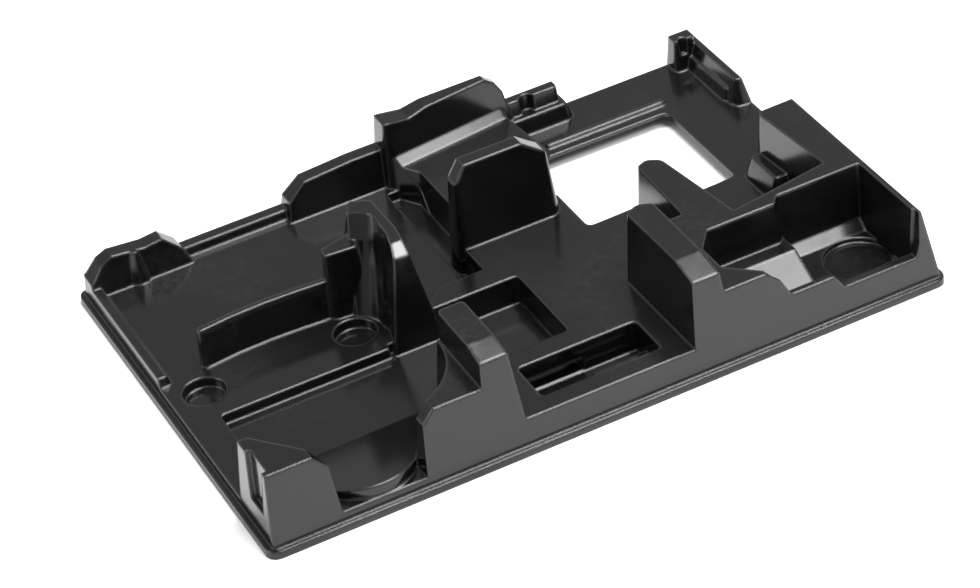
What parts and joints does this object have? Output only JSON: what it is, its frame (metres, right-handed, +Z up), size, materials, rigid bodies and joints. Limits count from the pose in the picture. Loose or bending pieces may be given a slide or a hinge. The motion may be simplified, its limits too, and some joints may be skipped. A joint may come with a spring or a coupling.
{
  "type": "tool case insert tray",
  "caption": "Moulded plastic tray for the inside of a tool case, with stepped decks, upright ridges, sunk pockets, finger wells and a rectangular opening.",
  "frame": {"origin": "centre of the tray's footprint, on the plane that its foot lip stands on", "axes": "+X along the long front edge to the right, +Y from the front edge to the back, +Z up out of the case"},
  "size_m": [0.38, 0.256, 0.067],
  "materials": {
    "insert_tray": "satin black moulded plastic"
  },
  "bodies": {
    "root": {"insert_tray": "insert_tray"}
  },
  "joints": []
}
